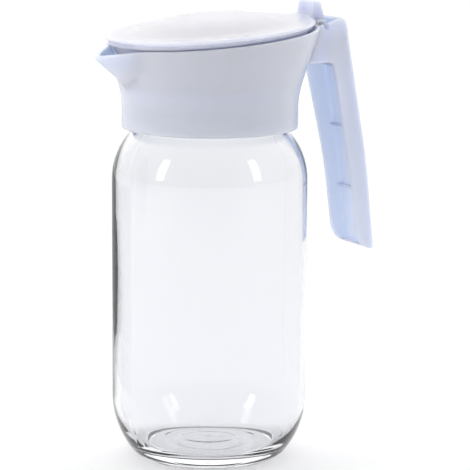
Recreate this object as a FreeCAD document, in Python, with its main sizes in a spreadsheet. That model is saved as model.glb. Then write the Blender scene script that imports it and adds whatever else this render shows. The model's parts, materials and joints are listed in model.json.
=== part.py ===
"""Glass pouring jug with a screw-on plastic head, hinged lid and open-channel handle.

Frame: origin at the centre of the base, +Z up, +X towards the handle, -X towards the
spout.  Millimetres.  The lid is closed and the head is screwed down.
"""
import FreeCAD, Part

import math
import os
import re

import Sketcher
from FreeCAD import Placement, Rotation, Vector

# ---------------------------------------------------------------- driving dimensions

SIZES = {
    # glass jar
    "jar_radius": 50.0,
    "jar_wall": 3.0,
    "heel_corner_z": 18.0,        # where the heel's sloping tangent leaves the side wall
    "heel_radius": 44.0,
    "base_corner_radius": 37.4,
    "base_round": 12.0,
    "base_ring_radius": 29.0,
    "push_up": 3.4,
    "floor_z": 8.0,
    "floor_corner_radius": 38.0,
    "floor_round": 6.0,
    "inner_heel_radius": 29.0,
    "shoulder_corner_z": 157.8,
    "shoulder_radius": 36.0,
    "neck_radius": 39.0,
    "neck_root_z": 170.0,
    "neck_wall": 2.6,
    "jar_height": 188.0,
    # screw thread, three starts
    "thread_starts": 3,
    "thread_lead": 18.0,
    "thread_arc": 90.0,
    "thread_start_angle": 15.0,
    "ridge_root": 2.2,
    "ridge_crest": 1.2,
    "jar_ridge_height": 1.8,
    "jar_ridge_z": 177.0,
    "ridge_drop": 2.6,            # collar ridge below jar ridge
    "collar_ridge_radius": 39.5,
    # gasket
    "gasket_inner": 36.8,
    "gasket_outer": 41.5,
    "gasket_base_z": 188.1,
    "gasket_thickness": 1.6,
    # pouring collar
    "collar_radius": 44.9,
    "collar_base_z": 170.4,
    "collar_edge_round": 1.6,
    "collar_bore": 42.6,
    "flare_start_z": 187.7,
    "flare_slope": 0.315,         # radius gained per millimetre of height
    "flare_round": 45.0,
    "flare_top_z": 232.0,
    "collar_wall": 2.1,
    "seat_z": 189.75,             # underside of the ledge over the gasket
    "seat_thickness": 2.0,
    "mouth_radius": 37.0,
    "rim_z": 217.4,
    "rim_slope": 0.0945,
    "notch_half_width": 9.2,
    "notch_z": 215.3,
    # spout
    "beak_foot_z": 190.6,
    "beak_middle_z": 199.6,
    "beak_lip_z": 208.2,
    "beak_top_z": 217.0,
    "beak_foot_tip": 45.6,
    "beak_middle_tip": 54.4,
    "beak_lip_tip": 64.0,
    "beak_top_tip": 66.0,
    "beak_back": 40.0,
    "beak_foot_half": 7.0,
    "beak_middle_half": 19.0,
    "beak_lip_half": 26.0,
    "beak_top_half": 27.5,
    "beak_round": 2.6,
    "beak_wall": 3.2,
    "beak_side_wall": 2.4,
    # lid
    "lid_z": 219.7,
    "lid_tilt": 4.72,
    "lid_radius": 53.5,
    "lid_plate": 1.8,
    "dome_radius": 42.8,
    "dome_rise": 6.0,
    "lid_shell": 1.8,
    "skirt_radius": 50.4,
    "skirt_foot_radius": 48.8,
    "skirt_depth": 7.0,
    "skirt_wall": 1.6,
    # hinge
    "hinge_x": 57.5,
    "hinge_z": 221.0,
    "pin_radius": 1.5,
    "pin_length": 24.6,
    "pin_clearance": 0.05,
    "ear_inner": 8.9,
    "ear_outer": 12.1,
    "ear_radius": 3.3,
    "ear_foot_z": 213.0,
    # thumb lever
    "lever_half": 8.3,
    "lever_front": 54.8,
    "lever_top_z": 234.0,
    "lever_top_back": 59.4,
    "lever_back": 62.8,
    "heel_reach": 5.3,            # round heel about the hinge
    "lever_round": 1.8,
    # handle
    "handle_half": 14.5,
    "handle_wall": 2.0,
    "handle_half_front": 22.0,    # the walls splay towards the collar
    "splay_x": 71.5,
    "splay_round": 25.0,
    "handle_front_x": 42.0,
    "handle_front_top_z": 218.9,
    "handle_top_z": 226.0,
    "handle_back_top_x": 71.1,
    "handle_back_bend_x": 84.8,
    "handle_bend_z": 150.0,
    "handle_back_foot_x": 89.7,
    "handle_back_foot_z": 102.8,
    "handle_inner_foot_x": 79.9,
    "handle_inner_foot_z": 103.6,
    "handle_inner_bend_x": 74.5,
    "handle_inner_bend_z": 146.0,
    "handle_bow": 300.0,
    "foot_side_round": 3.0,
    "foot_front_round": 7.0,
    "foot_back_round": 2.0,
    "arch_x": 62.7,
    "arch_z": 202.3,
    "arch_round": 3.0,
    "saddle_x": 58.5,
    "web_low_z": 215.2,
    "web_high_z": 218.9,
    "web_step_x": 66.0,
    "web_thickness": 2.0,
    "rib_first_z": 199.0,
    "rib_pitch": 32.4,
    "rib_height": 3.4,
    "rib_thickness": 1.6,
    "joint_gap": 0.05,
    # snap tab that holds the handle on the collar
    "tab_half": 5.0,
    "tab_low_z": 205.0,
    "tab_high_z": 210.0,
    "tab_tip_x": 62.0,
    "tab_clearance": 0.1,
}

doc = FreeCAD.newDocument("jug")
sheet = doc.addObject("Spreadsheet::Sheet", "Sizes")
for row, (alias, value) in enumerate(SIZES.items(), start=1):
    sheet.set(f"A{row}", alias)
    sheet.set(f"B{row}", str(value))
    sheet.setAlias(f"B{row}", alias)
doc.recompute()

WORDS = re.compile(r"\b(" + "|".join(sorted(SIZES, key=len, reverse=True)) + r")\b")


def cell(expression):
    """An expression in the sheet's aliases, with each alias given its sheet."""
    return WORDS.sub(r"Sizes.\1", str(expression))


def number(expression):
    """The present value of such an expression."""
    return float(sheet.evalExpression(cell(expression)))


def bind(target, path, expression):
    """Bind one property or constraint to the sheet."""
    target.setExpression(path, cell(expression))


# ---------------------------------------------------------------- sketches

def rounding(before, here, after, radius):
    """Tangent points and centre of a corner arc."""
    to_before = (before - here).normalize()
    to_after = (after - here).normalize()
    half = to_before.getAngle(to_after) / 2
    reach = radius / math.tan(half)
    middle = (to_before + to_after).normalize()
    centre = here + middle * (radius / math.sin(half))
    return here + to_before * reach, here + to_after * reach, centre


def corner_arc(start, end, centre, radius):
    """The short arc between two tangent points, and whether it runs start to end."""
    first = math.atan2(start.y - centre.y, start.x - centre.x)
    last = math.atan2(end.y - centre.y, end.x - centre.x)
    forward = (last - first) % (2 * math.pi) < math.pi
    if not forward:
        first, last = last, first
    circle = Part.Circle(centre, Vector(0, 0, 1), radius)
    return Part.ArcOfCircle(circle, first, last), forward


def outline(sketch, corners):
    """Closed outline.  A corner is (across, up) or (across, up, radius), in sheet terms."""
    points = [Vector(number(corner[0]), number(corner[1]), 0) for corner in corners]
    count = len(points)
    starts, ends, arcs = {}, {}, {}
    for index, corner in enumerate(corners):
        here = points[index]
        starts[index] = ends[index] = here
        if len(corner) == 3:
            radius = number(corner[2])
            before, after = points[index - 1], points[(index + 1) % count]
            arrive, leave, centre = rounding(before, here, after, radius)
            arcs[index] = corner_arc(arrive, leave, centre, radius)
            ends[index], starts[index] = arrive, leave
    lines = []
    for index in range(count):
        following = (index + 1) % count
        if (ends[following] - starts[index]).dot(points[following] - points[index]) <= 0:
            raise SystemExit(f"{sketch.Name}: corner arcs overlap after corner {index}")
        lines.append(sketch.addGeometry(Part.LineSegment(starts[index], ends[following]), False))
    for index, corner in enumerate(corners):
        marker = sketch.addGeometry(Part.Point(points[index]), True)
        arriving, leaving = lines[index - 1], lines[index]
        for kind, term in (("DistanceX", corner[0]), ("DistanceY", corner[1])):
            place = sketch.addConstraint(Sketcher.Constraint(kind, -1, 1, marker, 1, number(term)))
            sketch.renameConstraint(place, f"corner{index}_{kind}")
            bind(sketch, f"Constraints.corner{index}_{kind}", term)
        if index not in arcs:
            sketch.addConstraint(Sketcher.Constraint("Coincident", arriving, 2, marker, 1))
            sketch.addConstraint(Sketcher.Constraint("Coincident", leaving, 1, marker, 1))
            continue
        curve, forward = arcs[index]
        arc = sketch.addGeometry(curve, False)
        first, last = (1, 2) if forward else (2, 1)
        sketch.addConstraint(Sketcher.Constraint("PointOnObject", marker, 1, arriving))
        sketch.addConstraint(Sketcher.Constraint("PointOnObject", marker, 1, leaving))
        sketch.addConstraint(Sketcher.Constraint("Tangent", arriving, 2, arc, first))
        sketch.addConstraint(Sketcher.Constraint("Tangent", leaving, 1, arc, last))
        size = sketch.addConstraint(Sketcher.Constraint("Radius", arc, number(corner[2])))
        sketch.renameConstraint(size, f"corner{index}_radius")
        bind(sketch, f"Constraints.corner{index}_radius", corner[2])


def origin_plane(body, role):
    """One of a body's own origin planes."""
    return next(item for item in body.Origin.OriginFeatures if item.Role == role)


def body_sketch(body, name, role, corners, height=None):
    """An outline on a body's origin plane, or at a height above it."""
    sketch = body.newObject("Sketcher::SketchObject", name)
    sketch.AttachmentSupport = [(origin_plane(body, role), "")]
    sketch.MapMode = "FlatFace"
    if height is not None:
        bind(sketch, "AttachmentOffset.Base.z", height)
    outline(sketch, corners)
    doc.recompute()
    return sketch


def new_body(name):
    """A PartDesign body whose label is its node's name."""
    body = doc.addObject("PartDesign::Body", name + "_body")
    body.Label = name
    return body


def revolved(body, name, corners, kind="Revolution"):
    """Full turn of an outline in the XZ plane about the Z axis."""
    sketch = body_sketch(body, name + "_outline", "XZ_Plane", corners)
    feature = body.newObject("PartDesign::" + kind, name)
    feature.Profile = sketch
    feature.ReferenceAxis = (sketch, ["V_Axis"])
    feature.Angle = 360
    doc.recompute()
    return feature


def lofted(body, name, sections, kind="AdditiveLoft"):
    """Loft through horizontal outlines, each given as (height, corners)."""
    sketches = []
    for index, (height, corners) in enumerate(sections):
        sketches.append(body_sketch(body, f"{name}_section{index}", "XY_Plane", corners, height))
    feature = body.newObject("PartDesign::" + kind, name)
    feature.Profile = sketches[0]
    feature.Sections = sketches[1:]
    feature.Ruled = True
    doc.recompute()
    return feature


def cut_through(body, name, role, corners, length):
    """Symmetric pocket of an outline."""
    sketch = body_sketch(body, name + "_outline", role, corners)
    feature = body.newObject("PartDesign::Pocket", name)
    feature.Profile = sketch
    feature.SideType = "Symmetric"
    bind(feature, "Length", length)
    doc.recompute()
    return feature


def thread(body, name, corners):
    """Short helical ridges, one for each start."""
    sketch = body_sketch(body, name + "_outline", "XZ_Plane", corners)
    sketch.AttachmentOffset = Placement(Vector(), Rotation(Vector(0, 1, 0), 1))
    bind(sketch, "AttachmentOffset.Rotation.Angle", "thread_start_angle")
    ridge = body.newObject("PartDesign::AdditiveHelix", name)
    ridge.Profile = sketch
    ridge.ReferenceAxis = (sketch, ["V_Axis"])
    ridge.Mode = "pitch-height-angle"
    bind(ridge, "Pitch", "thread_lead")
    bind(ridge, "Height", "thread_lead * thread_arc / 360")
    doc.recompute()
    pattern = body.newObject("PartDesign::PolarPattern", name + "_starts")
    pattern.Originals = [ridge]
    pattern.Axis = (sketch, ["V_Axis"])
    pattern.Angle = 360
    bind(pattern, "Occurrences", "thread_starts")
    body.Tip = pattern
    doc.recompute()
    return pattern


def prism(name, rotation, corners, length, start=None):
    """A standalone outline extruded along its own normal, symmetric unless a start is given."""
    sketch = doc.addObject("Sketcher::SketchObject", name + "_outline")
    sketch.Placement = Placement(Vector(), rotation)
    outline(sketch, corners)
    solid = doc.addObject("Part::Extrusion", name)
    solid.Base = sketch
    solid.DirMode = "Normal"
    solid.Solid = True
    solid.Symmetric = start is None
    bind(solid, "LengthFwd", length)
    if start is not None:
        bind(solid, "LengthRev", f"-({start})")
    doc.recompute()
    return solid


def combined(kind, name, *solids):
    """Part boolean of two or more solids."""
    result = doc.addObject("Part::" + kind, name)
    if kind == "MultiFuse":
        result.Shapes = list(solids)
    else:
        result.Base, result.Tool = solids
    doc.recompute()
    return result


def block(name, low, high):
    """Box between two corners given in sheet terms."""
    box = doc.addObject("Part::Box", name)
    for side, axis, bottom, top in zip(("Length", "Width", "Height"), "xyz", low, high):
        bind(box, side, f"({top}) - ({bottom})")
        bind(box, f"Placement.Base.{axis}", bottom)
    doc.recompute()
    return box


def cross_cylinder(name, radius, length):
    """Cylinder along Y, centred on the hinge axis."""
    rod = doc.addObject("Part::Cylinder", name)
    rod.Placement = Placement(Vector(), Rotation(Vector(1, 0, 0), -90))
    bind(rod, "Radius", radius)
    bind(rod, "Height", length)
    bind(rod, "Placement.Base.x", "hinge_x")
    bind(rod, "Placement.Base.y", f"-({length}) / 2")
    bind(rod, "Placement.Base.z", "hinge_z")
    doc.recompute()
    return rod


SIDE = Rotation(Vector(1, 0, 0), 90)               # across = X, up = Z, normal = -Y
FRONT = Rotation(Vector(1, 1, 1), 120)             # across = Y, up = Z, normal = +X
PLAN = Rotation()                                  # across = X, up = Y, normal = +Z


# ---------------------------------------------------------------- glass jar

def glass_jar():
    """Blown jar: rounded heel, straight sides, domed shoulder and a threaded neck."""
    body = new_body("glass_jar")
    revolved(body, "glass", [
        ("0", "push_up"),
        ("base_ring_radius - 6", "push_up", "5"),
        ("base_ring_radius", "0", "1.5"),
        ("base_corner_radius", "0", "base_round"),
        ("jar_radius", "heel_corner_z", "heel_radius"),
        ("jar_radius", "shoulder_corner_z", "shoulder_radius"),
        ("neck_radius", "neck_root_z", "5"),
        ("neck_radius", "jar_height", "1.2"),
        ("neck_radius - neck_wall", "jar_height", "1.2"),
        ("neck_radius - neck_wall", "neck_root_z - 1.6", "5"),
        ("jar_radius - jar_wall", "shoulder_corner_z - 1.1", "shoulder_radius - jar_wall"),
        ("jar_radius - jar_wall", "heel_corner_z + 0.6", "inner_heel_radius"),
        ("floor_corner_radius", "floor_z", "floor_round"),
        ("0", "floor_z"),
    ])
    thread(body, "jar_ridge", ridge_outline(
        "neck_radius - 0.6", "neck_radius + jar_ridge_height", "jar_ridge_z"))
    return body


def ridge_outline(root, crest, middle):
    """Trapezoid from the wall at root to its narrower crest."""
    return [
        (root, f"({middle}) - ridge_root / 2"),
        (crest, f"({middle}) - ridge_crest / 2"),
        (crest, f"({middle}) + ridge_crest / 2"),
        (root, f"({middle}) + ridge_root / 2"),
    ]


def neck_gasket():
    """Flat sealing ring between the jar's rim and the collar's ledge."""
    body = new_body("neck_gasket")
    top = "gasket_base_z + gasket_thickness"
    revolved(body, "ring", [
        ("gasket_inner", "gasket_base_z"),
        ("gasket_outer", "gasket_base_z"),
        ("gasket_outer", top),
        ("gasket_inner", top),
    ])
    return body


# ---------------------------------------------------------------- pouring collar

def flare(height, inset="0"):
    """Radius of the flared outside at a height above the start of the flare."""
    return f"collar_radius + flare_slope * (({height}) - flare_start_z) - ({inset})"


def beak(tip, half, height, inset="0", side="0"):
    """Horizontal section of the spout: a rounded V whose back lies in the collar."""
    return (height, [
        (f"-({tip}) + ({inset})", "0", "beak_round"),
        ("-beak_back", f"({half}) - ({side})"),
        ("-beak_back", f"-({half}) + ({side})"),
    ])


def channel(tip, half, height):
    """The same section of the spout's inside."""
    return beak(tip, half, height, "beak_wall", "beak_side_wall")


def pouring_collar():
    """Threaded skirt, gasket ledge, oblique flared mouth and V-shaped spout."""
    body = new_body("pouring_collar")
    revolved(body, "flared_outside", [
        ("0", "collar_base_z"),
        ("collar_radius", "collar_base_z", "collar_edge_round"),
        ("collar_radius", "flare_start_z", "flare_round"),
        (flare("flare_top_z"), "flare_top_z"),
        ("0", "flare_top_z"),
    ])
    lofted(body, "spout_outside", [
        beak("beak_foot_tip", "beak_foot_half", "beak_foot_z"),
        beak("beak_middle_tip", "beak_middle_half", "beak_middle_z"),
        beak("beak_lip_tip", "beak_lip_half", "beak_lip_z"),
        beak("beak_top_tip", "beak_top_half", "beak_top_z"),
    ])
    ledge_top = "seat_z + seat_thickness"
    bore_foot = "collar_base_z - 5"
    above = "flare_top_z + 5"
    revolved(body, "mouth", [
        ("0", bore_foot),
        ("collar_bore", bore_foot),
        ("collar_bore", "seat_z"),
        ("mouth_radius", "seat_z"),
        ("mouth_radius", ledge_top),
        (flare(ledge_top, "collar_wall"), ledge_top, "2"),
        (flare(above, "collar_wall"), above),
        ("0", above),
    ], "Groove")
    lofted(body, "spout_channel", [
        channel("beak_foot_tip + 3", "beak_foot_half + 4", "beak_foot_z + 3"),
        channel("beak_middle_tip", "beak_middle_half", "beak_middle_z"),
        channel("beak_lip_tip", "beak_lip_half", "beak_lip_z"),
        channel("beak_top_tip + 0.2", "beak_top_half", "beak_top_z + 1"),
    ], "SubtractiveLoft")
    cut_through(body, "rim_plane", "XZ_Plane", [
        ("-90", "rim_z - 90 * rim_slope"),
        ("90", "rim_z + 90 * rim_slope"),
        ("90", "260"),
        ("-90", "260"),
    ], "200")
    cut_through(body, "hinge_notch", "XZ_Plane", [
        ("hinge_x - 8", "notch_z"),
        ("hinge_x + 8", "notch_z"),
        ("hinge_x + 8", "260"),
        ("hinge_x - 8", "260"),
    ], "2 * notch_half_width")
    thread(body, "collar_ridge", ridge_outline(
        "collar_bore + 0.6", "collar_ridge_radius", "jar_ridge_z - ridge_drop"))
    tab = body_sketch(body, "snap_tab_outline", "XZ_Plane", [
        (flare("tab_low_z", "1"), "tab_low_z"),
        ("tab_tip_x", "tab_low_z"),
        ("tab_tip_x", "tab_high_z - 1"),
        ("tab_tip_x - 2", "tab_high_z + 0.6"),
        ("tab_tip_x - 2.6", "tab_high_z - 0.2"),
        (flare("tab_low_z", "1"), "tab_high_z - 0.2"),
    ])
    pad = body.newObject("PartDesign::Pad", "snap_tab")
    pad.Profile = tab
    pad.SideType = "Symmetric"
    bind(pad, "Length", "2 * tab_half")
    doc.recompute()
    return body


# ---------------------------------------------------------------- handle

def handle_plan(name, inset):
    """Plan view: parallel walls that splay towards the collar."""
    half = f"handle_half - ({inset})"
    half_front = f"handle_half_front - ({inset})"
    return prism(name, PLAN, [
        ("100", half),
        ("splay_x", half, "splay_round"),
        ("handle_front_x", half_front),
        ("handle_front_x", f"-({half_front})"),
        ("splay_x", f"-({half})", "splay_round"),
        ("100", f"-({half})"),
    ], "260", "90")


def handle_front(name, inset):
    """Front view: a rounded foot."""
    half = "handle_half_front + 5"
    foot_half = f"handle_half - ({inset})"
    foot = f"handle_back_foot_z + ({inset})"
    return prism(name, FRONT, [
        (half, "250"),
        (half, "handle_bend_z"),
        (foot_half, "handle_bend_z - 15"),
        (foot_half, foot, "foot_side_round"),
        (f"-({foot_half})", foot, "foot_side_round"),
        (f"-({foot_half})", "handle_bend_z - 15"),
        (f"-({half})", "handle_bend_z"),
        (f"-({half})", "250"),
    ], "120", "20")


def handle_volume(name, side, inset):
    """What a side view, the plan and the front view have in common."""
    plan = handle_plan(name + "_plan", inset)
    front = handle_front(name + "_front", inset)
    return combined("Common", name, combined("Common", name + "_splayed", side, plan), front)


def handle_side():
    """Side view of the handle's outside: wall tops, back, foot, inner edge and arch."""
    return prism("handle_side", SIDE, [
        ("handle_front_x", "handle_front_top_z"),
        ("handle_back_top_x", "handle_top_z", "5"),
        ("handle_back_bend_x", "handle_bend_z", "handle_bow"),
        ("handle_back_foot_x", "handle_back_foot_z", "foot_back_round"),
        ("handle_inner_foot_x", "handle_inner_foot_z", "foot_front_round"),
        ("handle_inner_bend_x", "handle_inner_bend_z", "handle_bow"),
        ("arch_x", "arch_z", "arch_round"),
        ("handle_front_x", "arch_z"),
    ], "60")


def channel_side():
    """Side view of the open channel, up to the web under the thumb recess."""
    return prism("channel_side", SIDE, [
        ("saddle_x", "web_low_z - web_thickness"),
        ("web_step_x", "web_low_z - web_thickness"),
        ("web_step_x + 1.2", "web_high_z - web_thickness"),
        ("handle_back_top_x - handle_wall + 1.4", "web_high_z - web_thickness"),
        ("handle_back_bend_x - handle_wall", "handle_bend_z", "handle_bow"),
        ("handle_back_foot_x - handle_wall", "handle_back_foot_z + handle_wall"),
        ("handle_inner_foot_x + handle_wall", "handle_inner_foot_z + handle_wall",
         "foot_front_round - handle_wall"),
        ("handle_inner_foot_x - 0.5", "handle_inner_foot_z + foot_front_round"),
        ("handle_front_x", "handle_inner_foot_z + foot_front_round"),
        ("handle_front_x", "arch_z - 0.01"),
        ("saddle_x", "arch_z - 0.01"),
    ], "60")


def recess_side():
    """Side view of the thumb recess between the tops of the handle's walls."""
    return prism("recess_side", SIDE, [
        ("handle_front_x", "web_low_z"),
        ("web_step_x", "web_low_z"),
        ("web_step_x + 1.2", "web_high_z"),
        ("handle_back_top_x - handle_wall - 0.4", "web_high_z"),
        ("handle_back_top_x - handle_wall - 1.0", "handle_top_z + 10"),
        ("handle_front_x", "handle_top_z + 10"),
    ], "60")


def collar_envelope():
    """Solid outside of the collar, with the joint's gap, for trimming the handle."""
    body = new_body("collar_envelope")
    revolved(body, "envelope", [
        ("0", "collar_base_z - 5"),
        ("collar_radius + joint_gap", "collar_base_z - 5"),
        ("collar_radius + joint_gap", "flare_start_z", "flare_round"),
        (flare("flare_top_z", "-joint_gap"), "flare_top_z"),
        ("0", "flare_top_z"),
    ])
    return body


def hinge_ears():
    """Two ears that carry the hinge pin, standing on the web of the recess."""
    ears = []
    for side, low, high in (("near", "-ear_outer", "-ear_inner"), ("far", "ear_inner", "ear_outer")):
        ring = doc.addObject("Part::Cylinder", f"{side}_ear_ring")
        ring.Placement = Placement(Vector(), Rotation(Vector(1, 0, 0), -90))
        bind(ring, "Radius", "ear_radius")
        bind(ring, "Height", "ear_outer - ear_inner")
        bind(ring, "Placement.Base.x", "hinge_x")
        bind(ring, "Placement.Base.y", low)
        bind(ring, "Placement.Base.z", "hinge_z")
        leg = block(f"{side}_ear_leg", ("hinge_x - ear_radius", low, "ear_foot_z"),
                    ("hinge_x + ear_radius", high, "hinge_z"))
        ears += [ring, leg]
    return ears


def channel_ribs():
    """Three low ribs across the channel's back."""
    below = "(handle_back_foot_x - handle_back_bend_x) / (handle_bend_z - handle_back_foot_z)"
    above = "(handle_back_bend_x - handle_back_top_x) / (handle_top_z - handle_bend_z)"
    ribs = []
    for index, slope in enumerate((above, above, below)):
        height = f"rib_first_z - {index} * rib_pitch"
        face = f"handle_back_bend_x - handle_wall + (handle_bend_z - ({height})) * {slope}"
        half = "handle_half - handle_wall / 2"
        ribs.append(block(
            f"channel_rib{index}",
            (f"{face} - rib_height", f"-({half})", f"{height} - rib_thickness / 2"),
            (f"{face} + handle_wall / 2", half, f"{height} + rib_thickness / 2")))
    return ribs


def handle():
    """Open-channel handle with an arch, a thumb recess and the hinge ears."""
    shell = handle_volume("handle_block", handle_side(), "0")
    channel = handle_volume("channel_block", channel_side(), "handle_wall")
    recess = handle_volume("recess_block", recess_side(), "handle_wall")
    hollow = combined("MultiFuse", "handle_hollow", channel, recess)
    walls = combined("Cut", "handle_walls", shell, hollow)
    fitted = combined("MultiFuse", "handle_fitted", walls, *channel_ribs(), *hinge_ears())
    trimmed = combined("Cut", "handle_trimmed", fitted, collar_envelope())
    tab_hole = block("tab_hole", (
        "collar_radius", "-tab_half - tab_clearance", "tab_low_z - tab_clearance"),
        ("tab_tip_x + 3", "tab_half + tab_clearance", "tab_high_z - 0.2 + tab_clearance"))
    bore = cross_cylinder("ear_bore", "pin_radius + 0.02", "60")
    openings = combined("MultiFuse", "handle_openings", tab_hole, bore)
    result = combined("Cut", "handle_part", trimmed, openings)
    result.Label = "handle"
    return result


# ---------------------------------------------------------------- lid, lever and pin

def lid_disc():
    """Tilted round lid: flat rim, domed middle and a tapered skirt."""
    body = doc.addObject("PartDesign::Body", "lid_disc")
    shell = "lid_shell"
    revolved(body, "lid_shell_turn", [
        ("0", f"lid_plate + dome_rise - {shell}"),
        ("0", "lid_plate + dome_rise"),
        ("dome_radius * 0.56", "lid_plate + dome_rise * 0.93", "60"),
        ("dome_radius", "lid_plate", "9"),
        ("lid_radius", "lid_plate", "0.85"),
        ("lid_radius", "0", "0.85"),
        ("skirt_radius", "0"),
        ("skirt_foot_radius", "-skirt_depth"),
        ("skirt_foot_radius - skirt_wall", "-skirt_depth"),
        ("skirt_radius - skirt_wall", "0"),
        ("dome_radius", "0", "9"),
        ("dome_radius * 0.56", f"lid_plate + dome_rise * 0.93 - {shell}", "60"),
    ])
    body.Placement = Placement(Vector(), Rotation(Vector(0, -1, 0), 1))
    bind(body, "Placement.Base.z", "lid_z")
    bind(body, "Placement.Rotation.Angle", "lid_tilt")
    return body


def thumb_lever():
    """Upright lever on the lid's edge, with a round heel about the hinge."""
    return prism("thumb_lever", SIDE, [
        ("lever_front - 8", "hinge_z + 1.6"),
        ("lever_front - 8", "hinge_z + 3.6"),
        ("lever_front", "hinge_z + 4.6", "2.5"),
        ("lever_front", "lever_top_z", "lever_round"),
        ("lever_top_back", "lever_top_z", "lever_round"),
        ("lever_back", "hinge_z + 1"),
        ("hinge_x + heel_reach", "hinge_z"),
        ("hinge_x + heel_reach * 0.707", "hinge_z - heel_reach * 0.707"),
        ("hinge_x", "hinge_z - heel_reach"),
        ("hinge_x - heel_reach * 0.5", "hinge_z - heel_reach * 0.86"),
        ("lever_front - 0.6", "hinge_z + 1.6"),
    ], "2 * lever_half")


def lid():
    """Lid and thumb lever in one moulding, bored for the hinge pin."""
    moulding = combined("MultiFuse", "lid_moulding", lid_disc(), thumb_lever())
    bore = cross_cylinder("lid_bore", "pin_radius + pin_clearance", "60")
    result = combined("Cut", "lid_part", moulding, bore)
    result.Label = "lid"
    return result


def hinge_pin():
    """Plain pin through both ears and the lever's heel."""
    pin = cross_cylinder("hinge_pin_rod", "pin_radius", "pin_length")
    pin.Label = "hinge_pin"
    return pin


# ---------------------------------------------------------------- build, check, write

nodes = [glass_jar(), neck_gasket(), pouring_collar(), handle(), lid(), hinge_pin()]
doc.recompute()

faults = [item.Name for item in doc.Objects if {"Invalid", "Error"} & set(item.State)]
if faults:
    raise SystemExit(f"failed objects: {faults}")
for node in nodes:
    shape = node.Shape
    if shape.isNull() or not shape.isValid() or len(shape.Solids) != 1:
        raise SystemExit(f"bad shape: {node.Label} with {len(shape.Solids)} solids")

os.makedirs("parts", exist_ok=True)
for node in nodes:
    node.Shape.exportStep(f"parts/{node.Label}.step")
    box = node.Shape.optimalBoundingBox()
    print(f"{node.Label}: {node.Shape.Volume / 1000:.1f} cm3, "
          f"X {box.XMin:.1f} to {box.XMax:.1f}, Y {box.YMin:.1f} to {box.YMax:.1f}, "
          f"Z {box.ZMin:.1f} to {box.ZMax:.1f}")
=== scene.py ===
"""Looks of the glass pouring jug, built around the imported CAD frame.

Every moulded plastic piece is described by a field: a function of x, y, z that is below
zero inside the piece and about the distance to its skin outside.  skin() turns a field into
a mesh whose points and normals lie exactly on it.  Turned pieces are made by lathe().
Fields and profiles are in millimetres in the row frame; meshes are in metres.
"""

import json
import math

import bpy
import numpy as np
from mathutils import Matrix, Vector


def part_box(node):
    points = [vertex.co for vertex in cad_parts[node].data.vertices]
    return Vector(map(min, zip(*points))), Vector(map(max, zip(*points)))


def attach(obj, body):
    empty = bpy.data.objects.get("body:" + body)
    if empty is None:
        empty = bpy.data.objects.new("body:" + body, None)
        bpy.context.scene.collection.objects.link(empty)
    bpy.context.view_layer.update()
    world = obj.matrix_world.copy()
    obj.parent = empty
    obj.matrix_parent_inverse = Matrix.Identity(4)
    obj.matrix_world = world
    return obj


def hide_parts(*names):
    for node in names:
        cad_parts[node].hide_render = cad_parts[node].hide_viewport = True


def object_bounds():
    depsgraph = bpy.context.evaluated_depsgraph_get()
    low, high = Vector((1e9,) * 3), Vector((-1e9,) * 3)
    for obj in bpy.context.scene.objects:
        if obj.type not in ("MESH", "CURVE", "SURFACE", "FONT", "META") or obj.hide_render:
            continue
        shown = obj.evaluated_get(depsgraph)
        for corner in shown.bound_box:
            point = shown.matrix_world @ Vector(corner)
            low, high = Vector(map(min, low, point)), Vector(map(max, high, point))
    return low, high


MM = 0.001


def box_mm(node):
    """Lowest and highest corner of a CAD node in millimetres."""
    low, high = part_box(node)
    return low / MM, high / MM


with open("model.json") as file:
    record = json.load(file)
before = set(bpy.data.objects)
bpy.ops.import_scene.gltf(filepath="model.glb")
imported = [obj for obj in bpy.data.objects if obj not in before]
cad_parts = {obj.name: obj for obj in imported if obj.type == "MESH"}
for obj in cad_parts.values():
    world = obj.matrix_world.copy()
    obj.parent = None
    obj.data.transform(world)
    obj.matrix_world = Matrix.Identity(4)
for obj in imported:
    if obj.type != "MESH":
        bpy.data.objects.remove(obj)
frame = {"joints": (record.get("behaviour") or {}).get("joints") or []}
cad_low, cad_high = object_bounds()

_, JAR_HIGH = box_mm("glass_jar")
GASKET_LOW, GASKET_HIGH = box_mm("neck_gasket")
COLLAR_LOW, COLLAR_HIGH = box_mm("pouring_collar")
HANDLE_LOW, HANDLE_HIGH = box_mm("handle")
LID_LOW, LID_HIGH = box_mm("lid")
PIN_LOW, PIN_HIGH = box_mm("hinge_pin")
HINGE = Vector(next(j["pos_m"] for j in frame["joints"] if j["name"] == "lid_hinge")) / MM
THREAD_LEAD = 18.0


# ------------------------------------------------------------------ fields

def smax(a, b, width):
    """Larger of two fields, with the corner between them rounded over a width."""
    overlap = np.maximum(width - np.abs(a - b), 0) / width
    return np.maximum(a, b) + overlap * overlap * width / 4


def smin(a, b, width):
    """Smaller of two fields, with the corner between them filled over a width."""
    return -smax(-a, -b, width)


def every(width, *fields):
    """What all the fields have in common, with rounded edges."""
    result = fields[0]
    for field in fields[1:]:
        result = smax(result, field, width)
    return result


def line(x, start, end):
    """Height at x of the straight line through two points."""
    return start[1] + (x - start[0]) * (end[1] - start[1]) / (end[0] - start[0])


def through(x, knots):
    """Smooth curve through (x, value) knots, straight beyond the ends."""
    at = np.array([k[0] for k in knots], float)
    value = np.array([k[1] for k in knots], float)
    slope = np.gradient(value, at)
    i = np.clip(np.searchsorted(at, x) - 1, 0, len(at) - 2)
    span = at[i + 1] - at[i]
    t = np.clip((x - at[i]) / span, 0, 1)
    rise = value[i + 1] - value[i]
    inner = (value[i] + rise * t * t * (3 - 2 * t)
             + span * t * (1 - t) * (slope[i] * (1 - t) - slope[i + 1] * t))
    before = np.minimum(x - at[0], 0) * slope[0]
    after = np.maximum(x - at[-1], 0) * slope[-1]
    return inner + before + after


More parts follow.
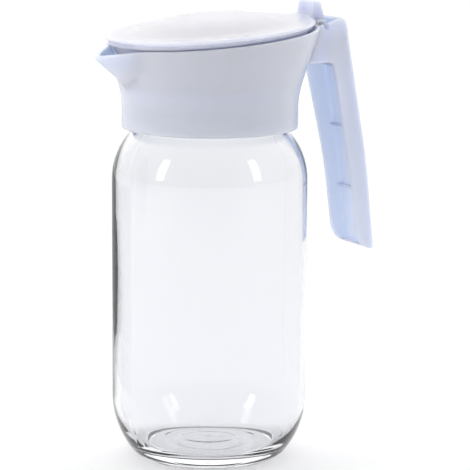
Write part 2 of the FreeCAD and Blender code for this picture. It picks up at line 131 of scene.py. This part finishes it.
def slopes(field, points, reach=0.02):
    """Gradient of a field at points."""
    result = np.empty_like(points)
    for axis in range(3):
        step = np.zeros(3)
        step[axis] = reach
        result[:, axis] = (field(*(points + step).T) - field(*(points - step).T)) / (2 * reach)
    return result


def onto(field, points, limit):
    """Points moved onto a field's zero surface, by no more than a limit."""
    gradient = slopes(field, points)
    square = np.maximum((gradient ** 2).sum(1), 0.05)
    move = -field(*points.T)[:, None] * gradient / square[:, None]
    length = np.linalg.norm(move, axis=1, keepdims=True)
    return points + move * np.minimum(1, limit / np.maximum(length, 1e-9))


def net(field, low, high, step):
    """Quads around a field's zero surface, one point to each grid cell that it crosses."""
    axes = [np.arange(a, b + step, step) for a, b in zip(low, high)]
    grid = np.meshgrid(*axes, indexing="ij", sparse=True)
    shape = tuple(len(a) for a in axes)
    inside = np.broadcast_to(field(*grid), shape) < 0
    cells = tuple(n - 1 for n in shape)
    corners = np.zeros(cells, np.int8)
    for i in (0, 1):
        for j in (0, 1):
            for k in (0, 1):
                corners += inside[i:i + cells[0], j:j + cells[1], k:k + cells[2]]
    crossed = (corners > 0) & (corners < 8)
    number = np.full(cells, -1, np.int64)
    number[crossed] = np.arange(crossed.sum())
    points = np.stack([axes[a][where] + step / 2
                       for a, where in enumerate(np.nonzero(crossed))], axis=1)
    quads = []
    for axis in range(3):
        one, two = (axis + 1) % 3, (axis + 2) % 3
        first = np.moveaxis(inside, (axis, one, two), (0, 1, 2))
        cell = np.moveaxis(number, (axis, one, two), (0, 1, 2))
        here, there = first[:-1, 1:-1, 1:-1], first[1:, 1:-1, 1:-1]
        for leaving in (True, False):
            i, j, k = np.nonzero(here & ~there if leaving else ~here & there)
            ring = [cell[i, j, k], cell[i, j + 1, k], cell[i, j + 1, k + 1], cell[i, j, k + 1]]
            quads.append(np.stack(ring if leaving else ring[::-1], axis=1))
    return points, np.concatenate(quads)


def evened(field, points, quads, step, rounds=6):
    """Points spread evenly over the surface and then set exactly on it."""
    for _ in range(3):
        points = onto(field, points, step)
    pairs = np.concatenate([quads[:, (a, (a + 1) % 4)] for a in range(4)])
    count = np.bincount(pairs.ravel(), minlength=len(points))[:, None]
    for _ in range(rounds):
        total = np.zeros_like(points)
        for axis in range(3):
            total[:, axis] = (np.bincount(pairs[:, 0], points[pairs[:, 1], axis], len(points))
                              + np.bincount(pairs[:, 1], points[pairs[:, 0], axis], len(points)))
        points = onto(field, 0.5 * points + 0.5 * total / count, step)
    for _ in range(3):
        points = onto(field, points, step)
    return points


# ------------------------------------------------------------------ meshes

def piece(name, points, faces, body, slot, material, *nodes, normals=None):
    """A mesh object made from points in millimetres, riding on a body for some CAD nodes."""
    mesh = bpy.data.meshes.new(name)
    mesh.from_pydata((points * MM).tolist(), [], faces.tolist())
    mesh.update()
    mesh.polygons.foreach_set("use_smooth", np.ones(len(mesh.polygons), bool))
    if normals is not None:
        mesh.normals_split_custom_set_from_vertices(normals.tolist())
    mesh.materials.append(material)
    thing = bpy.data.objects.new(name, mesh)
    bpy.context.scene.collection.objects.link(thing)
    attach(thing, body)
    if nodes:
        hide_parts(*nodes)
    return thing


def skin(name, field, low, high, step, body, slot, material, *nodes):
    """The piece that a field describes, searched for in a box."""
    margin = 2 * step
    points, quads = net(field, [c - margin for c in low], [c + margin for c in high], step)
    points = evened(field, points, quads, step)
    normals = slopes(field, points)
    normals /= np.maximum(np.linalg.norm(normals, axis=1, keepdims=True), 1e-9)
    return piece(name, points, quads, body, slot, material, *nodes, normals=normals)


def rounded(corners, per_corner=10):
    """Closed profile from (radius, height) corners, each with an optional rounding."""
    result = []
    count = len(corners)
    for index, corner in enumerate(corners):
        here = np.array(corner[:2], float)
        if len(corner) < 3:
            result.append(here)
            continue
        before = np.array(corners[index - 1][:2], float) - here
        after = np.array(corners[(index + 1) % count][:2], float) - here
        before /= np.linalg.norm(before)
        after /= np.linalg.norm(after)
        half = math.acos(np.clip(before @ after, -1, 1)) / 2
        inward = (before + after) / np.linalg.norm(before + after)
        centre = here + inward * corner[2] / math.sin(half)
        first = here + before * corner[2] / math.tan(half) - centre
        last = here + after * corner[2] / math.tan(half) - centre
        turn = math.acos(np.clip(first @ last / corner[2] ** 2, -1, 1))
        for share in np.linspace(0, 1, per_corner):
            mix = math.sin((1 - share) * turn) * first + math.sin(share * turn) * last
            result.append(centre + mix / math.sin(turn))
    return np.array(result)


def refined(profile, longest):
    """The same closed profile with no step longer than a length."""
    result = []
    for index, a in enumerate(profile):
        b = profile[(index + 1) % len(profile)]
        parts = max(1, math.ceil(np.linalg.norm(b - a) / longest))
        result += [a + (b - a) * share / parts for share in range(parts)]
    return np.array(result)


def lathe(profile, segments, shift=None):
    """Points and quads of a closed profile turned about Z; shift moves the radii."""
    turn = np.arange(segments) * 2 * math.pi / segments
    radius = np.repeat(profile[:, 0][:, None], segments, 1)
    height = np.repeat(profile[:, 1][:, None], segments, 1)
    if shift is not None:
        radius = radius + shift(radius, height, turn[None, :])
    points = np.stack([radius * np.cos(turn), radius * np.sin(turn), height], -1).reshape(-1, 3)
    rows, columns = np.meshgrid(np.arange(len(profile)), np.arange(segments), indexing="ij")
    below = (rows + 1) % len(profile)
    beside = (columns + 1) % segments
    quads = np.stack([rows * segments + columns, rows * segments + beside,
                      below * segments + beside, below * segments + columns], -1)
    return points, quads.reshape(-1, 4)


# ------------------------------------------------------------------ materials

def material(name, settings):
    """A Principled material with plain values on its own sockets."""
    made = bpy.data.materials.new(name)
    made.use_nodes = True
    shader = made.node_tree.nodes["Principled BSDF"]
    for socket, value in settings.items():
        shader.inputs[socket].default_value = value
    return made, made.node_tree, shader


def texture(tree, kind, vector, **values):
    """A texture node fed with a vector."""
    node = tree.nodes.new(kind)
    for socket, value in values.items():
        node.inputs[socket.replace("_", " ")].default_value = value
    tree.links.new(vector, node.inputs["Vector"])
    return node


def ranged(tree, source, low, high, out_low, out_high):
    """A value mapped from one range to another and clamped."""
    node = tree.nodes.new("ShaderNodeMapRange")
    for index, value in enumerate((low, high, out_low, out_high), start=1):
        node.inputs[index].default_value = value
    tree.links.new(source, node.inputs[0])
    return node.outputs[0]


def bumped(tree, shader, height, distance, strength=1.0):
    """Bump of a height on a shader."""
    bump = tree.nodes.new("ShaderNodeBump")
    bump.inputs["Strength"].default_value = strength
    bump.inputs["Distance"].default_value = distance
    tree.links.new(height, bump.inputs["Height"])
    tree.links.new(bump.outputs["Normal"], shader.inputs["Normal"])


POLISH = 0.20, 0.26
PLASTIC_DEPTH = 0.012


def moulded_plastic(name, colour, deep):
    """Glossy pastel plastic: faint cloudiness, uneven polish and a trace of orange peel."""
    made, tree, shader = material(name, {
        "IOR": 1.49,
        "Specular IOR Level": 0.5,
        "Subsurface Weight": 1.0,
        "Subsurface Radius": (0.7, 0.8, 1.0),
        "Subsurface Scale": PLASTIC_DEPTH,
        "Coat Weight": 0.3,
        "Coat Roughness": 0.1,
    })
    place = tree.nodes.new("ShaderNodeTexCoord").outputs["Object"]
    cloud = texture(tree, "ShaderNodeTexNoise", place, Scale=14.0, Detail=2.0)
    blend = tree.nodes.new("ShaderNodeMix")
    blend.data_type = "RGBA"
    tree.links.new(cloud.outputs["Fac"], blend.inputs["Factor"])
    blend.inputs["A"].default_value = (*colour, 1)
    blend.inputs["B"].default_value = (*deep, 1)
    tree.links.new(blend.outputs["Result"], shader.inputs["Base Color"])
    polish = texture(tree, "ShaderNodeTexNoise", place, Scale=25.0, Detail=1.0)
    tree.links.new(ranged(tree, polish.outputs["Fac"], 0.2, 0.8, *POLISH), shader.inputs["Roughness"])
    peel = texture(tree, "ShaderNodeTexNoise", place, Scale=300.0, Detail=1.0)
    bumped(tree, shader, peel.outputs["Fac"], 0.000005, 0.5)
    return made


def clear_glass():
    """Clear soda glass with a faint grey-blue body tint."""
    made, tree, shader = material("clear_glass", {
        "Base Color": (0.905, 0.911, 0.929, 1),
        "Roughness": 0.0,
        "IOR": 1.5,
        "Transmission Weight": 1.0,
    })
    place = tree.nodes.new("ShaderNodeTexCoord").outputs["Object"]
    ripple = texture(tree, "ShaderNodeTexNoise", place, Scale=60.0, Detail=1.0)
    bumped(tree, shader, ripple.outputs["Fac"], 0.00008, 0.5)
    return made


def silicone():
    """Milky sealing rubber with a fine matt grain."""
    made, tree, shader = material("seal_rubber", {
        "Roughness": 0.55,
        "Subsurface Weight": 0.4,
        "Subsurface Radius": (1.0, 1.0, 1.0),
        "Subsurface Scale": 0.001,
        "Base Color": (0.80, 0.82, 0.82, 1),
    })
    place = tree.nodes.new("ShaderNodeTexCoord").outputs["Object"]
    grain = texture(tree, "ShaderNodeTexNoise", place, Scale=2500.0, Detail=2.0)
    bumped(tree, shader, grain.outputs["Fac"], 0.00003, 0.5)
    return made


GLASS = clear_glass()
BLUE = moulded_plastic("blue_plastic", (0.565, 0.60, 0.785), (0.555, 0.592, 0.78))
PALE = moulded_plastic("lid_plastic", (0.625, 0.635, 0.785), (0.615, 0.627, 0.78))
RUBBER = silicone()


# ------------------------------------------------------------------ glass jar

JAR_RADIUS = JAR_HIGH.x
JAR_WALL = 3.0
NECK_RADIUS = JAR_RADIUS - 11
NECK_ROOT = JAR_HIGH.z - 18
SHOULDER_Z = JAR_HIGH.z - 30.2
HEEL_Z = 18.0
RIDGE_Z = JAR_HIGH.z - 11


def ridge(height, turn, start_z, crest, root=2.2, top=1.2):
    """Height of three quarter-turn helical ridges, as a fraction of their full height."""
    result = np.zeros(np.broadcast(height, turn).shape)
    for start in np.radians([15, 135, 255]):
        along = (turn - start + 0.5) % (2 * math.pi) - 0.5
        middle = start_z + THREAD_LEAD * along / (2 * math.pi)
        across = np.clip((root / 2 - np.abs(height - middle)) / ((root - top) / 2), 0, 1)
        ends = np.clip(np.minimum(along + 0.06, math.pi / 2 + 0.06 - along) / 0.12, 0, 1)
        result = np.maximum(result, across * ends)
    return result * crest


JAR_SEGMENTS = 288
THICK_SIDE, THICK_TOP = math.radians(153), 125
SEAM_TURN, SEAM_HEIGHT, SEAM_HALF = math.radians(10), 0.16, 0.8
KNURL_TURN, KNURL_HALF, KNURL_HEIGHT = math.radians(110), math.radians(33), 0.3
THREAD_CREST = 1.8


def jar_shift(radius, height, turn):
    """Thread ridges, mould seams and heel bumps outside; the slow waves of blowing inside."""
    inside = inner_rows[:, None]
    on_neck = (radius > NECK_RADIUS - 0.01) & (height > NECK_ROOT + 2)
    threads = np.where(on_neck, ridge(height, turn, RIDGE_Z, THREAD_CREST), 0)

    half_turn = (turn - SEAM_TURN) % math.pi
    from_seam = np.minimum(half_turn, math.pi - half_turn) * radius
    seam = SEAM_HEIGHT * np.exp(-(from_seam / SEAM_HALF) ** 2) * np.clip(height / 6, 0, 1)
    arc = np.abs((turn - KNURL_TURN + math.pi / 2) % math.pi - math.pi / 2) < KNURL_HALF
    third = np.round(turn * JAR_SEGMENTS / (2 * math.pi)) % 3 == 0
    knurl = KNURL_HEIGHT * (arc & third & (height > 0.4) & (height < 1.8))
    on_body = (radius > 34) & ~inside & (height < NECK_ROOT)
    outer = threads + np.where(on_body, seam + knurl, 0)

    calm = np.clip((NECK_ROOT - 4 - height) / 12, 0, 1) * np.clip((height - 8.5) / 8, 0, 1)
    thick = -0.6 * (1 + np.cos(turn - THICK_SIDE)) * np.clip((THICK_TOP - height) / 60, 0, 1)
    waves = thick + (0.30 * np.sin(2 * turn + 0.7 + 0.012 * height)
                     + 0.22 * np.sin(3 * turn - 1.9)
                     + 0.13 * np.sin(5 * turn + height / 31)
                     + 0.10 * np.sin(height / 17 + 1.2))
    return outer + np.where(inside, calm * waves, 0)


outer_profile = [
    (0.02, 2.4), (13.6, 2.2), (14.4, 2.05), (22.6, 1.9), (23.4, 1.75), (28, 1.6, 5),
    (33.5, 0, 2), (37.4, 0, 12),
    (JAR_RADIUS, HEEL_Z, 44), (JAR_RADIUS, SHOULDER_Z, 36), (NECK_RADIUS, NECK_ROOT, 5),
    (NECK_RADIUS, JAR_HIGH.z, 1.2),
]
inner_profile = [
    (NECK_RADIUS - 2.6, JAR_HIGH.z, 1.2), (NECK_RADIUS - 2.6, NECK_ROOT - 1.6, 5),
    (JAR_RADIUS - JAR_WALL, SHOULDER_Z - 1.1, 33), (JAR_RADIUS - JAR_WALL, HEEL_Z + 0.6, 29),
    (37, 7.4, 8), (16.5, 8.5), (16, 8.6), (0.02, 8.8),
]
jar_profile = refined(rounded(outer_profile + inner_profile, 16), 1.0)
rim_row = int(np.argmax(jar_profile[:, 1] + (jar_profile[:, 0] < NECK_RADIUS - 1.3) * 0.001))
inner_rows = np.arange(len(jar_profile)) > rim_row
points, quads = lathe(jar_profile, JAR_SEGMENTS, jar_shift)
jar = piece("jar_glass", points, quads, "jar", "clear_glass", GLASS, "glass_jar")
jar.visible_shadow = False


# ------------------------------------------------------------------ gasket and pin

GASKET_BORE, GASKET_EDGE = 36.8, 0.6
gasket_profile = rounded([
    (GASKET_BORE, GASKET_LOW.z, GASKET_EDGE), (GASKET_HIGH.x, GASKET_LOW.z, GASKET_EDGE),
    (GASKET_HIGH.x, GASKET_HIGH.z, GASKET_EDGE), (GASKET_BORE, GASKET_HIGH.z, GASKET_EDGE),
], 6)
points, quads = lathe(gasket_profile, 192)
piece("seal_ring", points, quads, "seal", "seal_rubber", RUBBER, "neck_gasket")

PIN_RADIUS = (PIN_HIGH.x - PIN_LOW.x) / 2
pin_profile = refined(rounded([
    (0.02, PIN_LOW.y), (PIN_RADIUS, PIN_LOW.y, 0.5),
    (PIN_RADIUS, PIN_HIGH.y, 0.5), (0.02, PIN_HIGH.y),
], 6), 1.5)
points, quads = lathe(pin_profile, 48)
points = points[:, (0, 2, 1)] + np.array([HINGE.x, 0, HINGE.z])
piece("pin_rod", points, quads[:, ::-1], "head", "blue_plastic", BLUE, "hinge_pin")


# ------------------------------------------------------------------ pouring collar

COLLAR_WALL = 2.1
BASE_RADIUS = 44.9
BORE_RADIUS = 42.6
FLARE_Z = JAR_HIGH.z - 0.3
FLARE_SLOPE = 0.315
SEAT_Z = 189.75
LEDGE_Z = SEAT_Z + 2
RIM_Z = 217.4
RIM_SLOPE = 0.0945
BEAK_BACK = 40.0
NOTCH_HALF = 9.2
NOTCH_Z = 215.3
BEAK_TIP = [(188, 43.4), (194, 48.6), (200, 55.1), (205, 61.2), (208, 64.3), (211, 65.5), (217, 66.5)]
BEAK_HALF = [(188, 6.0), (194, 14.5), (200, 22.5), (208, 27.0), (217, 28.0)]
BEAK_WALL = 2.7
# Each side of the spout has two faces, a * along + b * across = 1.
TIP_FACE = 1, 0.742
CHEEK = 0.7875, 1.083
LIP_DIP, LIP_START = 0.12, 46
LEDGE_BORE = 37
RIDGE_CREST = 4.1


def collar_radius(z):
    """Outside of the collar: a plain cylinder below, a flare above."""
    return smax(BASE_RADIUS + 0 * z, BASE_RADIUS + FLARE_SLOPE * (z - FLARE_Z), 2.2)


def beak_field(x, y, z):
    """The spout's outside: a V with bulging cheeks that leans out as it rises."""
    tip = np.maximum(through(z, BEAK_TIP), BEAK_BACK + 2)
    half = np.maximum(through(z, BEAK_HALF), 3)
    reach = tip - BEAK_BACK
    along = (-x - BEAK_BACK) / reach
    sides = []
    for across in (-y / half, y / half):
        faces = [(a * along + b * across - 1) / np.hypot(a / reach, b / half)
                 for a, b in (TIP_FACE, CHEEK)]
        sides.append(smax(*faces, 2.0))
    return np.maximum(smax(*sides, 3.0), x + BEAK_BACK - 1)


def rim_field(x, z, drop=0.0):
    """Height above the sloping plane of the rim, which a drop lowers."""
    return (z - RIM_Z + drop - RIM_SLOPE * x) / math.hypot(1, RIM_SLOPE)


def collar_field(x, y, z):
    """Threaded skirt, ledge over the gasket, flared mouth and spout."""
    radius = np.hypot(x, y)
    flare = radius - collar_radius(z)
    beak = beak_field(x, y, z)
    outside = smin(flare, beak, 1.4)
    body = smax(outside, COLLAR_LOW.z - z, 1.4)
    dip = LIP_DIP * smax(-x - LIP_START, 0 * x, 3.0)
    body = smax(body, rim_field(x, z, dip), 1.3)
    inside = smin(flare + COLLAR_WALL, beak + BEAK_WALL, 3.5)
    void = smin(smax(inside, LEDGE_Z - z, 1.6), radius - LEDGE_BORE, 0.8)
    void = smin(void, smax(radius - BORE_RADIUS, z - SEAT_Z, 0.4), 0.4)
    notch = every(0.8, np.abs(y) - NOTCH_HALF, NOTCH_Z - z, 40 - x)
    body = smax(body, -smin(void, notch, 0.8), 0.9)
    turn = np.arctan2(y, x)
    ridges = BORE_RADIUS + 1 - ridge(z, turn, RIDGE_Z - 2.6, RIDGE_CREST) - radius
    return smin(body, np.maximum(ridges, radius - BORE_RADIUS - 0.8), 0.4)


skin("collar_shell", collar_field, COLLAR_LOW, (56, COLLAR_HIGH.y, COLLAR_HIGH.z), 0.8,
     "head", "blue_plastic", BLUE, "pouring_collar")


# ------------------------------------------------------------------ handle

WALL = 2.0
BACK_TOP, BACK_BEND, BACK_FOOT = (71.1, 226.0), (84.8, 150.0), (89.7, 102.8)
INNER_FOOT, INNER_BEND, ARCH = (79.9, 103.6), (74.5, 146.0), (62.7, 202.3)
HALF = 14.5
SPLAY_X = 71.5
WALL_TOP_FRONT = (42.0, 218.9)
WEB_LOW, WEB_HIGH = 215.2, 218.9
WEB_STEP_X = 66.0
SADDLE_X = 58.5
EAR_RADIUS = 3.3
EAR_Y, EAR_FOOT_Z = 10.5, 213
SPLAY = 0.2542
RIB_TOP_Z, RIB_PITCH = 199.0, 32.4


def flipped(point):
    """(height, across) of an (across, height) point."""
    return point[1], point[0]


def handle_field(x, y, z):
    """Open-channel handle: walls, back, rounded foot, arch, thumb recess, ears and ribs."""
    back = smin(line(z, flipped(BACK_BEND), flipped(BACK_TOP)),
                line(z, flipped(BACK_FOOT), flipped(BACK_BEND)), 0.9)
    front = smin(line(z, flipped(INNER_BEND), flipped(ARCH)),
                 line(z, flipped(INNER_FOOT), flipped(INNER_BEND)), 1.0)
    half = smax(HALF + 0 * x, HALF + SPLAY * (SPLAY_X - x), 0.9)
    foot = line(x, INNER_FOOT, BACK_FOOT)
    side = np.abs(y) - half
    top = (z - line(x, WALL_TOP_FRONT, BACK_TOP)) * 0.97
    grip = smin(front - x, ARCH[1] - z, 4.0)
    shell = smax(x - back, top, 5.0)
    shell = smax(shell, side, 2.2)
    shell = smax(smax(shell, smax(foot - z, grip, 10.5), 1.6), 44 - x, 1.0)
    ceiling = through(x, [(WEB_STEP_X - 3, WEB_LOW), (WEB_STEP_X, WEB_LOW),
                          (WEB_STEP_X + 1.4, WEB_HIGH), (WEB_STEP_X + 4, WEB_HIGH)])
    channel = every(1.6, x - back + WALL, side + WALL, foot + WALL - z)
    channel = every(1.0, channel, z - ceiling + WALL,
                    np.minimum(SADDLE_X - x, z - ARCH[1] + 0.01))
    recess = every(1.4, side + WALL, ceiling - z, x - back + WALL + 0.3)
    body = smax(shell, -channel, 0.9)
    body = smax(body, -recess, 0.9)
    for index in range(3):
        height = RIB_TOP_Z - index * RIB_PITCH
        rib = every(0.7, np.abs(z - height) - 0.65, back - WALL - 2.2 - x, x - back + 1,
                    side + 1)
        body = smin(body, rib, 0.8)
    around = np.hypot(x - HINGE.x, z - HINGE.z)
    leg = every(0.3, np.abs(x - HINGE.x) - EAR_RADIUS, z - HINGE.z, EAR_FOOT_Z - z)
    ear = smax(smin(around - EAR_RADIUS, leg, 0.3), np.abs(np.abs(y) - EAR_Y) - 1.6, 0.7)
    body = smin(body, ear, 0.7)
    lug = every(0.8, side + 1, 10 - np.abs(y), np.abs(x - HINGE.x) - 5,
                z - HINGE.z - 0.4, EAR_FOOT_Z - z)
    body = smin(body, lug, 0.8)
    body = smax(body, PIN_RADIUS + 0.02 - around, 0.2)
    return smax(body, collar_radius(z) + 0.05 - np.hypot(x, y), 0.5)


skin("handle_moulding", handle_field, HANDLE_LOW, HANDLE_HIGH, 0.7,
     "head", "blue_plastic", BLUE, "handle")


# ------------------------------------------------------------------ lid

LID_TILT = math.radians(4.72)
LID_Z = 219.7
LID_RADIUS = 53.5
PLATE = 1.8
DOME_RADIUS, DOME_RISE = 42.8, 6.0
SKIRT_RADIUS, SKIRT_FOOT = 49.6, -7
STEP_RADIUS, STEP_HALF, STEP_GAP = 49.8, 2.1, 0.3
LEVER_HALF, LEVER_CORNER = 8.3, 3.2
LEVER_FRONT = 54.8
BARREL_RADIUS = 5.3


def lid_field(x, y, z):
    """Tilted lid with a soft dome, a step on the rim, a skirt inside it, and the thumb lever."""
    across = x * math.cos(LID_TILT) + (z - LID_Z) * math.sin(LID_TILT)
    up = -x * math.sin(LID_TILT) + (z - LID_Z) * math.cos(LID_TILT)
    radius = np.hypot(across, y)
    dome = smin(PLATE + DOME_RISE - 0.0175 * radius,
                line(radius, (DOME_RADIUS, PLATE), (DOME_RADIUS * 0.56, PLATE + DOME_RISE * 0.93)),
                2.6)
    above = smax(dome, PLATE + 0 * dome, 1.2)
    below = smax(dome - PLATE, 0 * dome, 0.6)
    plate = every(1.0, (up - above) * 0.97, (below - up) * 0.97, radius - LID_RADIUS)
    skirt = every(0.7, np.abs(radius - SKIRT_RADIUS - up * 0.2286) - 0.8,
                  SKIRT_FOOT - up, up - 1)
    step = every(0.5, np.abs(radius - STEP_RADIUS) - STEP_HALF, STEP_GAP - rim_field(x, z), up - 1)
    body = smin(smin(plate, skirt, 0.8), step, 0.5)
    away = np.hypot(x - HINGE.x, z - HINGE.z)
    face = LEVER_FRONT - x + 0.35 - 0.007 * y * y
    back = (x - line(z, (LID_HIGH.z, 59.4), (HINGE.z + 1, 62.8))) * 0.96
    paddle = every(1.8, face, back, z - LID_HIGH.z)
    paddle = smax(paddle, HINGE.z - z, 0.6)
    blade = smin(paddle, away - BARREL_RADIUS, 0.8)
    corner = np.hypot(np.maximum(np.abs(y) - LEVER_HALF + LEVER_CORNER, 0),
                      np.maximum(z - LID_HIGH.z + LEVER_CORNER, 0)) - LEVER_CORNER
    lever = smax(blade, corner, 1.5)
    body = smin(body, lever, 4.0)
    return smax(body, PIN_RADIUS + 0.05 - away, 0.2)


skin("lid_moulding", lid_field, LID_LOW, LID_HIGH, 0.8,
     "cover", "lid_plastic", PALE, "lid")


# ------------------------------------------------------------------ stage, light and camera

def flag(name, centre, aim, width, height, colour):
    """A flat coloured panel that faces a point and shows only in reflections."""
    mesh = bpy.data.meshes.new(name)
    w, h = width / 2, height / 2
    mesh.from_pydata([(-w, -h, 0), (w, -h, 0), (w, h, 0), (-w, h, 0)], [], [(0, 1, 2, 3)])
    made, _, _ = material(name, {"Base Color": (*colour, 1), "Roughness": 1.0})
    mesh.materials.append(made)
    panel = bpy.data.objects.new(name, mesh)
    panel.location = centre
    panel.rotation_mode = "QUATERNION"
    panel.rotation_quaternion = (Vector(aim) - Vector(centre)).to_track_quat("Z", "Y")
    bpy.context.scene.collection.objects.link(panel)
    panel.visible_camera = False
    panel.visible_shadow = False
    panel.visible_diffuse = False
    panel.visible_transmission = False


def soft_light(name, centre, aim, width, height, power):
    """A rectangular softbox aimed at a point, which the camera doesn't see."""
    data = bpy.data.lights.new(name, "AREA")
    data.energy = power
    data.shape = "RECTANGLE"
    data.size, data.size_y = width, height
    lamp = bpy.data.objects.new(name, data)
    lamp.location = centre
    lamp.rotation_mode = "QUATERNION"
    lamp.rotation_quaternion = (Vector(aim) - Vector(centre)).to_track_quat("-Z", "Y")
    lamp.visible_camera = False
    bpy.context.scene.collection.objects.link(lamp)
    return lamp


TURN = math.radians(27)
CAMERA_DISTANCE, CAMERA_HEIGHT = 1.313, 0.3409
PITCH, YAW, ROLL = (math.radians(a) for a in (9.77, 0.57, -0.32))


def in_row_frame(vector):
    """A vector given across, away from and above the camera, in the row frame."""
    return Matrix.Rotation(-TURN, 3, "Z") @ Vector(vector)


def aimed_camera():
    """Camera placed and turned as the product is seen."""
    right = Vector((math.cos(YAW), -math.sin(YAW), 0))
    up = Vector((math.sin(YAW) * math.sin(PITCH), math.cos(YAW) * math.sin(PITCH), math.cos(PITCH)))
    rolled_right = right * math.cos(ROLL) - up * math.sin(ROLL)
    rolled_up = right * math.sin(ROLL) + up * math.cos(ROLL)
    axes = [in_row_frame(v) for v in (rolled_right, rolled_up, rolled_right.cross(rolled_up))]
    data = bpy.data.cameras.new("camera")
    data.sensor_width = 36
    data.lens = 199.0
    data.clip_start, data.clip_end = 0.05, 50
    eye = bpy.data.objects.new("camera", data)
    eye.matrix_world = Matrix.Translation(in_row_frame((0, -CAMERA_DISTANCE, CAMERA_HEIGHT))) \
        @ Matrix(axes).transposed().to_4x4()
    bpy.context.scene.collection.objects.link(eye)
    bpy.context.scene.camera = eye


def floor():
    """Plain pale floor, far wider than the view."""
    mesh = bpy.data.meshes.new("floor")
    reach = 12.0
    corners = [(-reach, -reach, 0), (reach, -reach, 0), (reach, reach, 0), (-reach, reach, 0)]
    mesh.from_pydata(corners, [], [(0, 1, 2, 3)])
    made, _, _ = material("floor", {
        "Base Color": (0.955, 0.955, 0.96, 1), "Roughness": 0.8, "Specular IOR Level": 0.1})
    mesh.materials.append(made)
    ground = bpy.data.objects.new("floor", mesh)
    bpy.context.scene.collection.objects.link(ground)


HORIZON_TO_ZENITH = 0.74, 1.19
FRONT_TO_BACK = 0.52, 1.40


def studio_world():
    """White surroundings, brighter overhead and behind than at the horizon and in front."""
    world = bpy.data.worlds.new("studio")
    bpy.context.scene.world = world
    world.use_nodes = True
    tree = world.node_tree
    background = tree.nodes["Background"]
    background.inputs["Color"].default_value = (1, 1, 1, 1)
    direction = tree.nodes.new("ShaderNodeTexCoord").outputs["Generated"]
    split = tree.nodes.new("ShaderNodeSeparateXYZ")
    tree.links.new(direction, split.inputs[0])
    rising = ranged(tree, split.outputs["Z"], 0.0, 0.8, *HORIZON_TO_ZENITH)
    facing = tree.nodes.new("ShaderNodeVectorMath")
    facing.operation = "DOT_PRODUCT"
    facing.inputs[1].default_value = in_row_frame((0, 1, 0))
    tree.links.new(direction, facing.inputs[0])
    receding = ranged(tree, facing.outputs["Value"], -0.8, 0.8, *FRONT_TO_BACK)
    product = tree.nodes.new("ShaderNodeMath")
    product.operation = "MULTIPLY"
    tree.links.new(rising, product.inputs[0])
    tree.links.new(receding, product.inputs[1])
    tree.links.new(product.outputs[0], background.inputs["Strength"])


aimed_camera()
floor()
studio_world()
CENTRE = (cad_low + cad_high) / 2
FLAG_GREY = (0.55, 0.56, 0.58)
flag("dark_flag_side", in_row_frame((-0.165, 0.3, 0.055)), in_row_frame((0.3, 0.26, 0.055)),
     0.6, 0.13, FLAG_GREY)
soft_light("left_softbox", in_row_frame((-0.82, -0.5, 0.5)), CENTRE, 0.17, 0.5, 1.0)
soft_light("right_softbox", in_row_frame((0.78, -0.5, 0.5)), CENTRE, 0.17, 0.5, 0.9)
fill = soft_light("left_fill", in_row_frame((-1.1, -0.25, 0.4)), CENTRE, 0.6, 0.6, 2.3)
fill.visible_glossy = False
fill.visible_transmission = False

bpy.context.scene.view_settings.view_transform = "Standard"
